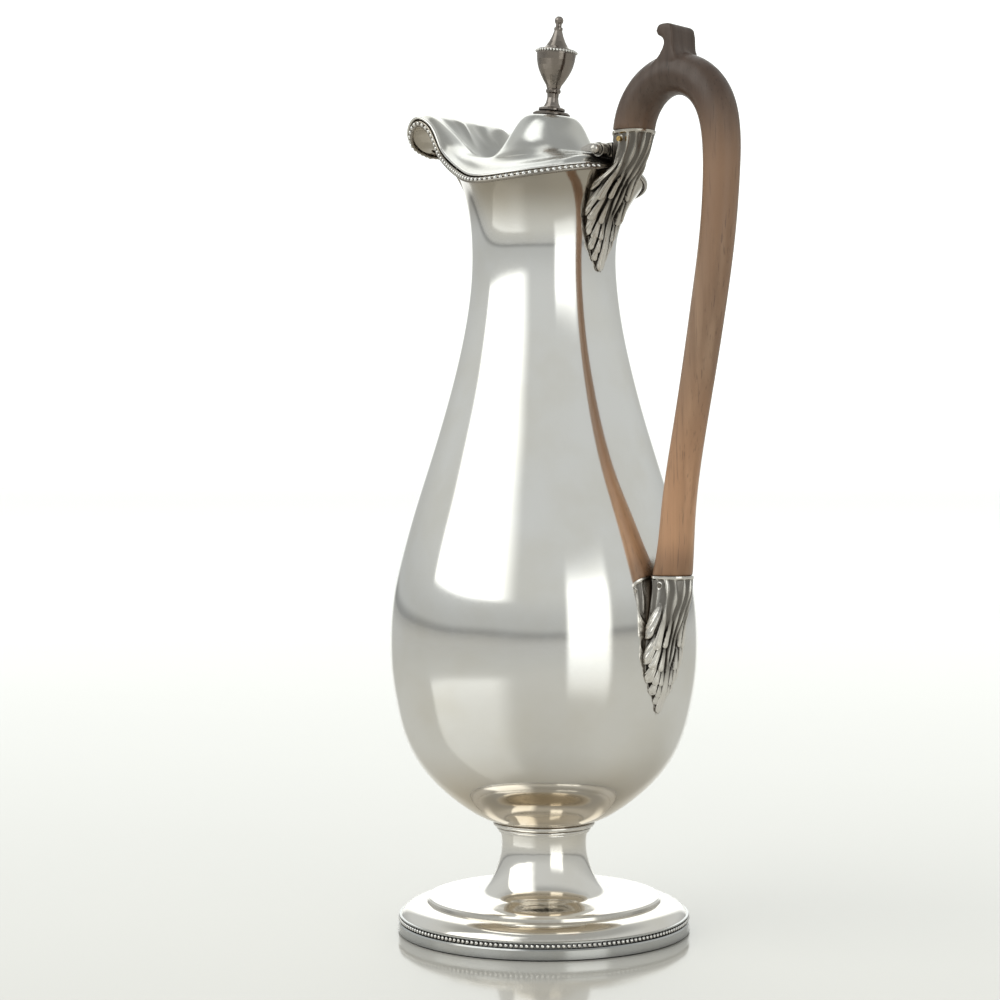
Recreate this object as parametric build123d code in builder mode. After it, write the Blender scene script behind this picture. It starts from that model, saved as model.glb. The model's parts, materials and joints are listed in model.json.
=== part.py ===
"""Silver wine jug in the English style of about 1780: a pear-shaped body on a trumpet foot, a hinged cover
with an urn finial, and a fruitwood handle held by two cast acanthus sockets.

Millimetres. The origin is the centre of the foot's underside, +Z is up, the handle is towards +X and the
pouring lip towards -X. The jug is symmetrical about the XZ plane.
"""

from build123d import *
import os
from math import cos, sin, radians

# ---- driving dimensions ----
wall = 1.0                    # raised silver sheet of the body
cover_wall = 0.9              # sheet of the cover
moving_gap = 0.5              # clearance between the cover and the fixed mouth
hinge_x, hinge_z = 35.0, 283.6
knuckle_radius = 2.6
fixed_half = 5.4              # half of the fixed middle knuckle's length
lug_start, lug_end = 5.75, 9.2
head_start, head_radius = 9.55, 1.9
head_length = 3.4
pin_radius = 1.2
running_clearance = 0.05
cove_depth = 0.2             # hollow of the cover's brim between its edge and its crest
rim_bead_radius = 0.85
rim_bead_pitch = 2.15
foot_bead_radius = 0.75
foot_bead_count = 182
finial_tilt = 6.5             # the cover's dome and finial lean this much towards the handle
dome_base = (1.7, 283.0)      # where the leaning axis crosses the cover's plate, x and z
handle_tenon_length = 6.5
handle_tenon_radius = 5.0
handle_pin_radius = 0.9

# ---- outlines as (radius, height), from the bottom up ----
pear_outline = [
    (19.0, 40.2), (23.8, 42.3), (32.4, 47.9), (39.4, 53.9), (44.8, 60.0), (50.0, 68.7), (54.4, 83.5),
    (56.3, 95.3), (56.8, 107.2), (55.9, 122.0), (53.0, 136.8), (48.2, 154.5), (42.6, 172.3), (36.4, 193.0),
    (31.8, 210.8), (28.5, 228.0), (27.1, 241.0), (26.9, 248.0),
]
neck_steps = 6                # points on the flare between the neck and the mouth's edge
dome_outline = [(21.0, 1.6), (17.4, 5.1), (14.7, 9.5), (12.4, 13.6), (10.9, 15.6), (9.2, 16.9), (7.4, 17.3)]
dome_top_height = 17.3

# ---- half of the mouth, station by station from the hinge round to the pouring lip ----
# neck: azimuth of the station on the neck, dome: its azimuth on the cover's dome, flare: slope of the lip
# edge: the mouth's edge, crest and shelf: outer and inner edge of the cover's rolled brim, valley: the
# hollow between the brim and the dome
stations = [
    dict(neck=0.0, dome=0.0, flare=55, edge=(36.8, 0, 277.8), crest=(33.0, 0, 282.0),
         shelf=(29.5, 0, 283.0), valley=(25.5, 0, 284.2)),
    dict(neck=21.0, dome=22.0, flare=52, edge=(34.4, 13.5, 277.2), crest=(30.8, 13.0, 281.3),
         shelf=(27.5, 11.5, 282.4), valley=(23.8, 9.8, 283.8)),
    dict(neck=43.0, dome=44.0, flare=48, edge=(27.0, 26.0, 275.2), crest=(23.0, 22.5, 279.3),
         shelf=(20.0, 19.5, 280.8), valley=(18.2, 17.0, 282.8)),
    dict(neck=66.0, dome=67.0, flare=42, edge=(14.0, 35.0, 273.3), crest=(11.0, 28.5, 278.2),
         shelf=(9.5, 24.5, 280.4), valley=(9.0, 21.8, 282.6)),
    dict(neck=88.0, dome=90.0, flare=38, edge=(0.0, 37.2, 273.2), crest=(-1.0, 28.3, 279.6),
         shelf=(-1.5, 24.6, 281.3), valley=(-1.0, 22.3, 283.0)),
    dict(neck=106.0, dome=110.0, flare=35, edge=(-12.5, 32.6, 277.0), crest=(-12.5, 25.2, 283.2),
         shelf=(-11.8, 21.8, 284.0), valley=(-9.6, 20.2, 284.0)),
    dict(neck=121.0, dome=127.0, flare=28, edge=(-23.5, 27.4, 282.2), crest=(-22.5, 22.2, 286.6),
         shelf=(-21.2, 18.0, 286.9), valley=(-17.0, 16.4, 285.6)),
    dict(neck=133.0, dome=140.0, flare=22, edge=(-32.0, 24.1, 288.8), crest=(-30.5, 20.2, 291.9),
         shelf=(-29.3, 15.2, 291.6), valley=(-22.6, 13.6, 287.2)),
    dict(neck=142.5, dome=149.0, flare=12, edge=(-38.0, 23.0, 297.0), crest=(-37.5, 20.0, 300.1),
         shelf=(-36.6, 13.8, 298.6), valley=(-26.6, 11.6, 288.8)),
    dict(neck=150.5, dome=156.0, flare=-2, edge=(-43.5, 23.4, 300.0), crest=(-42.5, 20.5, 303.2),
         shelf=(-41.6, 12.6, 302.1), valley=(-29.4, 9.8, 289.8)),
    dict(neck=158.0, dome=162.0, flare=-20, edge=(-48.5, 22.0, 297.0), crest=(-46.0, 18.0, 303.4),
         shelf=(-44.0, 10.6, 303.4), valley=(-31.2, 7.8, 290.3)),
    dict(neck=165.5, dome=168.0, flare=-36, edge=(-51.3, 16.5, 291.8), crest=(-48.3, 13.2, 304.2),
         shelf=(-45.2, 7.8, 304.2), valley=(-32.4, 5.4, 290.4)),
    dict(neck=172.8, dome=174.0, flare=-41, edge=(-51.9, 8.4, 290.0), crest=(-48.9, 6.8, 305.1),
         shelf=(-46.0, 4.2, 304.8), valley=(-33.0, 2.8, 290.3)),
    dict(neck=180.0, dome=180.0, flare=-42, edge=(-51.9, 0, 290.2), crest=(-49.0, 0, 305.4),
         shelf=(-46.2, 0, 305.0), valley=(-33.2, 0, 290.2)),
]

# ---- the handle's centreline, (x, z, diameter), from the upper socket over the arch to the lower one ----
handle_path = [
    (43.7, 289.8, 15.2), (45.9, 297.4, 15.0), (52.3, 304.7, 14.8), (62.5, 307.9, 14.6), (73.0, 304.6, 14.5),
    (80.0, 296.6, 14.2), (82.9, 286.0, 13.6), (83.2, 272.0, 12.9), (81.6, 252.0, 12.5), (77.8, 228.0, 12.4),
    (73.3, 204.0, 12.0), (68.4, 180.0, 11.7), (64.3, 156.0, 12.2), (61.4, 132.5, 14.3),
]


def mirrored(point):
    return Vector(point.X, -point.Y, point.Z)


def run_along(index):
    """Direction of the mouth's edge at a station, from the hinge towards the lip."""
    last = len(stations) - 1
    before = Vector(*stations[index - 1]["edge"]) if index > 0 else mirrored(Vector(*stations[1]["edge"]))
    after = Vector(*stations[index + 1]["edge"]) if index < last else mirrored(Vector(*stations[last - 1]["edge"]))
    return after - before


def lip_direction(index):
    """Direction in which the lip leaves the jug at its edge: outward in plan, at the station's slope."""
    slope = radians(stations[index]["flare"])
    along = run_along(index)
    return Vector(along.Y, -along.X, 0).normalized() * cos(slope) + Vector(0, 0, sin(slope))


def lip_upward(index):
    """Direction square to the lip's sheet at its edge, on the cover's side."""
    return lip_direction(index).cross(run_along(index)).normalized()


def bezier(p0, p1, p2, p3, t):
    s = 1 - t
    return p0 * s**3 + p1 * (3 * s * s * t) + p2 * (3 * s * t * t) + p3 * t**3


def body_meridian(index):
    """Points up the outside of the body at a station, from its base to the mouth's edge."""
    azimuth = radians(stations[index]["neck"])
    points = [Vector(r * cos(azimuth), r * sin(azimuth), z) for r, z in pear_outline]
    neck, edge = points[-1], Vector(*stations[index]["edge"])
    rise = edge.Z - neck.Z
    lower_pull = neck + Vector(0, 0, 0.46 * rise)
    upper_pull = edge - lip_direction(index) * (0.27 * rise)
    flare = [bezier(neck, lower_pull, upper_pull, edge, k / neck_steps) for k in range(1, neck_steps + 1)]
    return points + flare


def leaning(radius, height, azimuth):
    """A point on the dome: its rings are level at its base and lean fully at its flat top."""
    lean = radians(finial_tilt)
    ring_lean = lean * height / dome_top_height
    across = radius * cos(radians(azimuth))
    return Vector(
        dome_base[0] + height * sin(lean) + across * cos(ring_lean),
        radius * sin(radians(azimuth)),
        dome_base[1] + height * cos(lean) - across * sin(ring_lean),
    )


def cover_edge(index):
    lift = wall + moving_gap + cover_wall
    return Vector(*stations[index]["edge"]) + lip_upward(index) * lift


def cover_meridian(index):
    """Points over the top of the cover at a station, from its edge in to the flat on top of the dome."""
    station = stations[index]
    edge, crest = cover_edge(index), Vector(*station["crest"])
    cove = edge * 0.5 + crest * 0.5 - lip_upward(index) * cove_depth
    rest = [Vector(*station["shelf"]), Vector(*station["valley"])]
    dome = [leaning(r, h, station["dome"]) for r, h in dome_outline]
    return [edge, cove, crest] + rest + dome


def shell(meridians, thickness):
    """A symmetrical sheet-metal shell, from points on its outside, lofted station by station."""
    beyond_hinge = [[mirrored(p) for p in meridians[k]] for k in (3, 2, 1)]
    beyond_lip = [[mirrored(p) for p in meridians[k]] for k in (-2, -3, -4)]
    rows = beyond_hinge + meridians + beyond_lip
    sections = []
    for before, here, after in zip(rows, rows[1:], rows[2:]):
        inside = []
        for j, point in enumerate(here):
            up = here[min(j + 1, len(here) - 1)] - here[max(j - 1, 0)]
            normal = (after[j] - before[j]).cross(up).normalized()
            inside.append(point - normal * thickness)
        outer, inner = Edge.make_spline(here), Edge.make_spline(inside)
        ends = [Edge.make_line(here[-1], inside[-1]), Edge.make_line(inside[0], here[0])]
        sections.append(Wire([outer, ends[0], inner, ends[1]]))
    return both_halves(Solid.make_loft(sections))


def drawn_wire(centres, radius):
    """A round wire all the way round the mouth, through one centre for each station."""
    line = Edge.make_spline(centres, tangents=[(0, 1, 0), (0, -1, 0)])
    with BuildPart() as wire:
        with BuildLine():
            add(line)
        with BuildSketch(Plane(origin=line.position_at(0), z_dir=line.tangent_at(0))):
            Circle(radius)
        sweep()
    half = wire.part.solids()[0]
    return half.fuse(half.mirror(Plane.XZ), glue=True)


def both_halves(loft_past_middle):
    """Trim a loft that runs a little past the plane of symmetry, and join it to its mirror image."""
    half = loft_past_middle.intersect(near_side).solids().sort_by(SortBy.VOLUME)[-1]
    return half.fuse(half.mirror(Plane.XZ), glue=True)


def finished(part, name):
    part.label = name
    export_step(part, f"parts/{name}.step")
    print(name, len(part.solids()), "solid(s)", round(part.volume, 1), "mm3")


os.makedirs("parts", exist_ok=True)
near_side = Solid.make_box(400, 200, 500, Plane((-200, 0, -50)))
count = len(stations)
edge_points = [Vector(*s["edge"]) for s in stations]
half_edge = Edge.make_spline(edge_points, tangents=[(0, 1, 0), (0, -1, 0)])

# ---- body: one raised sheet from the base to the pouring lip ----
body_shell = shell([body_meridian(i) for i in range(count)], wall)
with BuildPart() as body:
    add(body_shell)
    with BuildSketch(Plane.XZ):
        with BuildLine():
            Polyline((0, 40.45), (19.3, 40.45), (20.6, 41.35), (0, 41.35), close=True)
        make_face()
    revolve(axis=Axis.Z, clean=False)
finished(body.part, "body")

# the body's outside near the handle as a solid of revolution, with room for the mouth's border
handle_side = [Vector(p.X, p.Z) for p in body_meridian(0)]
with BuildPart() as handle_side_core:
    with BuildSketch(Plane.XZ):
        with BuildLine():
            side = Spline(*handle_side)
            Polyline(side @ 1, (0, 277.8), (0, 40.2), side @ 0)
        make_face()
        with Locations((37.2, 278.2)):
            Rectangle(3.6, 4.2)
    revolve(axis=Axis.Z)

# ---- the mouth's border: a drawn wire under a row of beads ----
border_drop = 0.55
border_radius = 0.6
border_centres = []
for i in range(count):
    inward = lip_direction(i) * -0.35 - lip_upward(i) * border_drop
    border_centres.append(edge_points[i] + inward)
border_wire = drawn_wire(border_centres, border_radius)
with BuildPart() as mouth_border:
    add(border_wire)
finished(mouth_border.part, "mouth_border")

socket_half_width = 8.6
bead_total = round(half_edge.length / rim_bead_pitch)
bead_places = [half_edge.position_at((k + 0.5) / bead_total) for k in range(bead_total)]
bead_places = [p for p in bead_places if p.X < 20 or p.Y > socket_half_width]
with BuildPart() as mouth_beads:
    with Locations(*bead_places, *[mirrored(p) for p in bead_places]):
        Sphere(rim_bead_radius)
finished(mouth_beads.part, "mouth_beads")

# ---- foot: two collar rings, a spun trumpet, and a beaded rim ----
with BuildPart() as foot_collar:
    with BuildSketch(Plane.XZ):
        with BuildLine():
            lower = Polyline((13.8, 36.6), (16.9, 36.6), (16.9, 37.0))
            lower_ring = ThreePointArc(lower @ 1, (17.5, 37.7), (16.9, 38.4))
            step = Polyline(lower_ring @ 1, (17.6, 38.5))
            upper_ring = ThreePointArc(step @ 1, (18.9, 39.3), (18.6, 40.2))
            Polyline(upper_ring @ 1, (13.8, 40.2), lower @ 0)
        make_face()
    revolve(axis=Axis.Z)
finished(foot_collar.part, "foot_collar")

trumpet = [(16.3, 36.6), (15.7, 30.3), (17.0, 24.3), (19.6, 18.4), (22.6, 15.2), (28.0, 13.5), (42.4, 12.9)]
ovolo = [(43.3, 11.2), (47.8, 10.3), (51.2, 8.5), (52.6, 6.7)]
foot_wall = 0.9
with BuildPart() as foot_pedestal:
    with BuildSketch(Plane.XZ):
        with BuildLine():
            outside = Spline(*trumpet)
            corner = Polyline(outside @ 1, (43.1, 12.3), ovolo[0])
            skirt = Spline(*ovolo)
            base = Polyline(skirt @ 1, (51.7, 6.7))
            inner_skirt = Spline(*[(r - 0.45, z - foot_wall) for r, z in reversed(ovolo[:-1])])
            ceiling = Polyline(base @ 1, inner_skirt @ 0)
            inner_corner = Polyline(inner_skirt @ 1, (41.9, 12.0))
            inside = Spline((41.9, 12.0), (27.6, 12.5), (21.9, 14.3), (18.8, 17.9), (16.1, 24.1),
                            (14.8, 30.3), (15.3, 36.6))
            Polyline(inside @ 1, outside @ 0)
        make_face()
    revolve(axis=Axis.Z)
finished(foot_pedestal.part, "foot_pedestal")

rim_outline = [
    (50.6, 0), (53.2, 0), (53.7, 0.5), (53.7, 3.6), (53.3, 4.1), (52.7, 4.3), (52.7, 6.0), (53.3, 6.15),
    (53.3, 6.6), (52.6, 6.7), (51.7, 6.7), (50.6, 5.4),
]
with BuildPart() as foot_rim:
    with BuildSketch(Plane.XZ):
        with BuildLine():
            Polyline(*rim_outline, close=True)
        make_face()
    revolve(axis=Axis.Z)
finished(foot_rim.part, "foot_rim")

with BuildPart() as foot_beads:
    with Locations((0, 0, 5.15)):
        with PolarLocations(52.95, foot_bead_count):
            Sphere(foot_bead_radius)
finished(foot_beads.part, "foot_beads")

# ---- handle: one carved piece of fruitwood with a curled thumb-rest ----
path_points = [Vector(x, 0, z) for x, z, _ in handle_path]
upper_axis = Vector(-0.1, 0, -1).normalized()   # the tenons point nearly straight down into the sockets
lower_axis = Vector(0, 0, -1)
pin_depth = 3.2
upper_pin_half, lower_pin_half = 8.1, 7.3
half_width = 6.8
with BuildPart() as handle:
    for i, (x, z, diameter) in enumerate(handle_path):
        if i == 0:
            heading = -upper_axis
        elif i == len(handle_path) - 1:
            heading = lower_axis
        else:
            heading = path_points[i + 1] - path_points[i - 1]
        with BuildSketch(Plane(origin=(x, 0, z), x_dir=(0, 1, 0), z_dir=heading)):
            Circle(diameter / 2)
    loft()
    with BuildSketch(Plane(origin=path_points[0], z_dir=upper_axis)):
        Circle(handle_tenon_radius)
    extrude(amount=handle_tenon_length)
    with BuildSketch(Plane(origin=path_points[-1], z_dir=lower_axis)):
        Circle(handle_tenon_radius)
    extrude(amount=handle_tenon_length)
    with BuildSketch(Plane.XZ.offset(-half_width)):
        with BuildLine():
            back = Polyline((68.5, 311.5), (66.9, 317.0), (66.6, 322.0))
            crown = ThreePointArc(back @ 1, (66.0, 323.9), (64.2, 324.8))
            top = Line(crown @ 1, (61.6, 324.9))
            scroll = ThreePointArc(top @ 1, (59.3, 322.6), (61.6, 320.3))
            throat = Spline(scroll @ 1, (62.6, 318.2), (61.2, 315.0), (57.0, 311.0))
            Line(throat @ 1, back @ 0)
        make_face()
    extrude(amount=2 * half_width)
    for joint, axis in ((path_points[0], upper_axis), (path_points[-1], lower_axis)):
        with Locations(Location(joint + axis * pin_depth, (90, 0, 0))):
            Cylinder(handle_pin_radius, 40, mode=Mode.SUBTRACT)
finished(handle.part, "handle")

# ---- sockets: cast leaf tubes that end against the body, bored for the handle's tenons ----
upper_sections = [
    (43.8, 289.8, 7.8, 7.8), (42.7, 284.0, 7.1, 7.3), (41.0, 278.0, 5.0, 7.8), (35.0, 272.0, 5.8, 9.7),
    (31.8, 266.0, 5.2, 9.7), (29.6, 260.0, 3.9, 8.8), (28.1, 253.5, 3.2, 6.6), (27.3, 247.0, 2.6, 4.4),
    (27.3, 240.8, 1.9, 1.5),
]
lower_sections = [
    (61.4, 132.5, 7.5, 7.5), (61.1, 126.5, 7.4, 7.6), (59.7, 119.0, 6.0, 8.6), (58.0, 110.0, 4.4, 9.4),
    (56.6, 100.0, 3.4, 9.0), (55.1, 92.0, 3.0, 6.0), (53.4, 83.3, 3.2, 1.6),
]


def leaf_socket(sections, joint, axis, core):
    with BuildPart() as socket:
        for x, z, along, across in sections:
            with BuildSketch(Plane(origin=(x, 0, z), z_dir=(0, 0, 1))):
                Ellipse(along, across)
        loft()
        with BuildSketch(Plane(origin=joint - axis * 4, z_dir=axis)):
            Circle(handle_tenon_radius + 0.05)
        extrude(amount=handle_tenon_length + 4.3, mode=Mode.SUBTRACT)
        with BuildSketch(Plane(origin=joint, z_dir=-axis)):
            Rectangle(40, 40)
        extrude(amount=10, mode=Mode.SUBTRACT)
        add(core, mode=Mode.SUBTRACT)
        with Locations(Location(joint + axis * pin_depth, (90, 0, 0))):
            Cylinder(handle_pin_radius, 40, mode=Mode.SUBTRACT)
    return socket


knuckle_turn = Location((hinge_x, 0, hinge_z), (90, 0, 0))
knuckle_room = knuckle_radius + moving_gap      # half of the square notch in which the knuckles sit
leaf_room = 0.3                                 # beyond the pin's axis, where the open cover's leaf stands
upper_casting = leaf_socket(upper_sections, path_points[0], upper_axis, handle_side_core.part)
with BuildPart() as upper_socket:
    add(upper_casting.part)
    with Locations((hinge_x + knuckle_room - 10, 0, hinge_z)):
        Box(20, 40, 2 * knuckle_room, mode=Mode.SUBTRACT)
    with Locations((hinge_x + leaf_room - 10, 0, hinge_z + 5)):
        Box(20, 40, 10, mode=Mode.SUBTRACT)
finished(upper_socket.part, "upper_socket")

lower_socket = leaf_socket(lower_sections, path_points[-1], lower_axis, handle_side_core.part)
finished(lower_socket.part, "lower_socket")


def handle_pin(joint, axis, half_length):
    with BuildPart() as pin:
        with Locations(Location(joint + axis * pin_depth, (90, 0, 0))):
            Cylinder(handle_pin_radius, 2 * half_length)
    return pin


upper_handle_pin = handle_pin(path_points[0], upper_axis, upper_pin_half)
finished(upper_handle_pin.part, "upper_handle_pin")
lower_handle_pin = handle_pin(path_points[-1], lower_axis, lower_pin_half)
finished(lower_handle_pin.part, "lower_handle_pin")

# ---- hinge: a fixed middle knuckle on the upper socket, two on the cover, and one pin ----
with BuildPart() as fixed_knuckle:
    with Locations(knuckle_turn):
        Cylinder(knuckle_radius, 2 * fixed_half)
    with Locations((hinge_x + knuckle_room / 2, 0, hinge_z)):
        Box(knuckle_room, 2 * fixed_half, 2 * knuckle_radius)
    with Locations(knuckle_turn):
        Cylinder(pin_radius, 40, mode=Mode.SUBTRACT)
finished(fixed_knuckle.part, "fixed_knuckle")

hinge_axis = Axis((hinge_x, 0, hinge_z), (0, 1, 0))
with BuildPart() as hinge_pin:
    with BuildSketch(Plane(origin=(hinge_x, 0, hinge_z), x_dir=(0, 1, 0), z_dir=(1, 0, 0))):
        with BuildLine():
            ball_start = head_start + head_length - head_radius
            far_ball = CenterArc((ball_start, 0), head_radius, 0, 90)
            near_ball = CenterArc((-ball_start, 0), head_radius, 90, 90)
            Line(far_ball @ 0, near_ball @ 1)
            Polyline(far_ball @ 1, (head_start, head_radius), (head_start, pin_radius),
                     (-head_start, pin_radius), (-head_start, head_radius), near_ball @ 0)
        make_face()
    revolve(axis=hinge_axis)
finished(hinge_pin.part, "hinge_pin")

# ---- cover: a raised sheet that follows the mouth, cut away round the hinge ----
lean_sine, lean_cosine = sin(radians(finial_tilt)), cos(radians(finial_tilt))
dome_plane = Plane(
    origin=(dome_base[0], 0, dome_base[1]),
    x_dir=(lean_cosine, 0, -lean_sine),
    z_dir=(lean_sine, 0, lean_cosine),
)
finial_axis = Axis(dome_plane.origin, dome_plane.z_dir)
finial_side = Plane(origin=dome_plane.origin, x_dir=dome_plane.x_dir, z_dir=(0, -1, 0))
bore_radius = 1.3
cover_shell = shell([cover_meridian(i) for i in range(count)], cover_wall)
with BuildPart() as hinge_room:
    with Locations(knuckle_turn):
        Cylinder(knuckle_radius + 0.5, 2 * (head_start + head_length + 0.6))
    with Locations((hinge_x + 9.6, 0, hinge_z)):
        Box(20, 60, 40)
with BuildPart() as cover:
    add(cover_shell)
    with BuildSketch(dome_plane.offset(dome_top_height - 0.85)):
        Circle(8.6)
    extrude(amount=0.75, clean=False)
    with BuildSketch(dome_plane.offset(dome_top_height - 3)):
        Circle(bore_radius)
    extrude(amount=6, mode=Mode.SUBTRACT, clean=False)
    add(hinge_room.part, mode=Mode.SUBTRACT, clean=False)
finished(cover.part, "cover")

with BuildPart() as cover_hinge:
    for side in (-1, 1):
        with BuildSketch(Plane.XZ.offset(-side * (lug_start + lug_end) / 2)):
            with Locations((hinge_x, hinge_z)):
                Circle(knuckle_radius)
            with BuildLine():
                Polyline((34.2, 286.1), (30.2, 286.0), (26.8, 285.0), (26.8, 283.9), (31.0, 283.2), (34.2, 281.3),
                         close=True)
            make_face()
        extrude(amount=(lug_end - lug_start) / 2, both=True)
    with BuildSketch(Plane.XZ):
        with BuildLine():
            Polyline((31.2, 286.0), (30.2, 286.0), (26.8, 285.0), (26.8, 283.9), (31.2, 283.2), close=True)
        make_face()
    extrude(amount=lug_end, both=True)
    with Locations(knuckle_turn):
        Cylinder(pin_radius + running_clearance, 40, mode=Mode.SUBTRACT)
finished(cover_hinge.part, "cover_hinge")

# a bright wire along the cover's edge
moulding_radius = 0.5
moulding_centres = []
for i in range(count):
    moulding_centres.append(cover_edge(i) + lip_direction(i) * 0.15 - lip_upward(i) * 0.35)
moulding_wire = drawn_wire(moulding_centres, moulding_radius)
moulding_end = 12.5           # the wire stops this far from the middle plane, clear of the hinge
with BuildPart() as cover_moulding:
    add(moulding_wire)
    with Locations((hinge_x, 0, hinge_z)):
        Box(20, 2 * moulding_end, 20, mode=Mode.SUBTRACT)
finished(cover_moulding.part, "cover_moulding")

# a soldered strip under the cover that drops inside the neck and keeps the cover central
bezel_radius = 22.6
with BuildPart() as cover_bezel:
    with BuildSketch(Plane.XY.offset(271.5)):
        with Locations((dome_base[0], 0)):
            Circle(bezel_radius)
            Circle(bezel_radius - 0.9, mode=Mode.SUBTRACT)
    extrude(amount=11.6)
finished(cover_bezel.part, "cover_bezel")

# ---- finial: turned pieces threaded on a screw through the dome; heights are above the dome's flat top ----
top = dome_top_height - 0.1


def turned(outline, name):
    """A solid turned about the finial's axis from (radius, height) points."""
    with BuildPart() as piece:
        with BuildSketch(finial_side):
            with BuildLine():
                Polyline(*[(r, top + h) for r, h in outline], close=True)
            make_face()
        revolve(axis=finial_axis)
    finished(piece.part, name)
    return piece


shank = 1.2
finial_plinth = turned(
    [(shank, 0), (6.3, 0), (6.9, 0.4), (6.9, 0.9), (6.4, 1.4), (5.2, 1.6), (4.4, 1.7), (4.9, 2.1), (4.9, 2.8),
     (4.3, 3.2), (shank, 3.2)],
    "finial_plinth",
)
finial_stem = turned(
    [(shank, 3.2), (3.2, 3.2), (2.95, 3.9), (2.4, 5.0), (2.1, 6.7), (2.2, 8.2), (2.75, 8.7), (2.8, 9.5), (2.4, 10.1),
     (shank, 10.1)],
    "finial_stem",
)
finial_urn = turned(
    [(shank, 10.1), (2.5, 10.1), (2.9, 11.3), (4.0, 12.9), (5.1, 14.8), (6.0, 16.6), (6.6, 18.3), (7.05, 20.4),
     (7.3, 22.7), (7.3, 23.2), (shank, 23.2)],
    "finial_urn",
)
finial_cap = turned(
    [(0, 23.2), (7.0, 23.2), (7.3, 23.5), (7.0, 24.3), (5.2, 24.6), (4.2, 25.4), (3.0, 27.3), (2.1, 29.3), (1.5, 31.2),
     (1.6, 31.6), (1.6, 32.3), (1.1, 32.7), (1.1, 33.6), (1.5, 34.2), (1.65, 35.0), (1.45, 35.8), (0.8, 36.4),
     (0, 36.5)],
    "finial_cap",
)
urn_bead_radius, urn_bead_count = 0.52, 40
with BuildPart() as finial_beads:
    with Locations(dome_plane.offset(top + 23.55)):
        with PolarLocations(7.35, urn_bead_count):
            Sphere(urn_bead_radius)
finished(finial_beads.part, "finial_beads")

shank_length = 27.0
with BuildPart() as finial_screw:
    with BuildSketch(dome_plane.offset(top - 4.2)):
        Circle(shank)
    extrude(amount=shank_length)
    add(finial_cap.part, mode=Mode.SUBTRACT)
finished(finial_screw.part, "finial_screw")

with BuildPart() as finial_nut:
    with BuildSketch(dome_plane.offset(top - 3.1)):
        RegularPolygon(3.2, 6)
        Circle(shank, mode=Mode.SUBTRACT)
    extrude(amount=2.2)
finished(finial_nut.part, "finial_nut")
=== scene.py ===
"""Looks of a silver wine jug with a hinged cover and a fruitwood handle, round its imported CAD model.

The scene is in metres, in the frame's axes: +Z up, the handle towards +X, the pouring lip towards -X.
Outlines are written in millimetres.
"""

import json
import math

import bmesh
import bpy
import numpy as np
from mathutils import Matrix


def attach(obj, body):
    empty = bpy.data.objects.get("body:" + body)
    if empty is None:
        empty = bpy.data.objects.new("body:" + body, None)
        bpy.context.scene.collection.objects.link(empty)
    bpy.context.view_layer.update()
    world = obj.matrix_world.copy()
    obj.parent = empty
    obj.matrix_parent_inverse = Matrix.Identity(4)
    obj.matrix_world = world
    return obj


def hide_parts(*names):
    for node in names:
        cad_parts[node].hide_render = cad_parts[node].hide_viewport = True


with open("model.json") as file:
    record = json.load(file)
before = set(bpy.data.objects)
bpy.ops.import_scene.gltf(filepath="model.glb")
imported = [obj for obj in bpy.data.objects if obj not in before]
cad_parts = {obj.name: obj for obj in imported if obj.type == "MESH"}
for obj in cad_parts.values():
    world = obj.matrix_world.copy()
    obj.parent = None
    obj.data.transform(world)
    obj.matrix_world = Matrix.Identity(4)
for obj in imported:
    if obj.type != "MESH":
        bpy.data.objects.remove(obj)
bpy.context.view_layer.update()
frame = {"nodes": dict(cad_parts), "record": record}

MM = 0.001
nodes = frame["nodes"]


# ---- camera: level, at the height of the jug's middle, turned 43 degrees from the handle's plane ----
view_azimuth = math.radians(43)
camera_distance = 0.777
camera_height = 0.166
sensor = 36.0
lens = 75.6
axis_offset = 0.044          # how far right of the picture's centre the jug stands, in picture widths
horizon_offset = 0.020       # and how far the horizon lies above its middle

camera_data = bpy.data.cameras.new("camera")
camera_data.lens = lens
camera_data.sensor_width = sensor
camera_data.shift_x = -axis_offset
camera_data.shift_y = -horizon_offset
camera = bpy.data.objects.new("camera", camera_data)
camera.location = (
    camera_distance * math.sin(view_azimuth),
    -camera_distance * math.cos(view_azimuth),
    camera_height,
)
camera.rotation_euler = (math.radians(90), 0, view_azimuth)
bpy.context.scene.collection.objects.link(camera)
bpy.context.scene.camera = camera
bpy.context.scene.view_settings.view_transform = "Standard"


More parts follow.
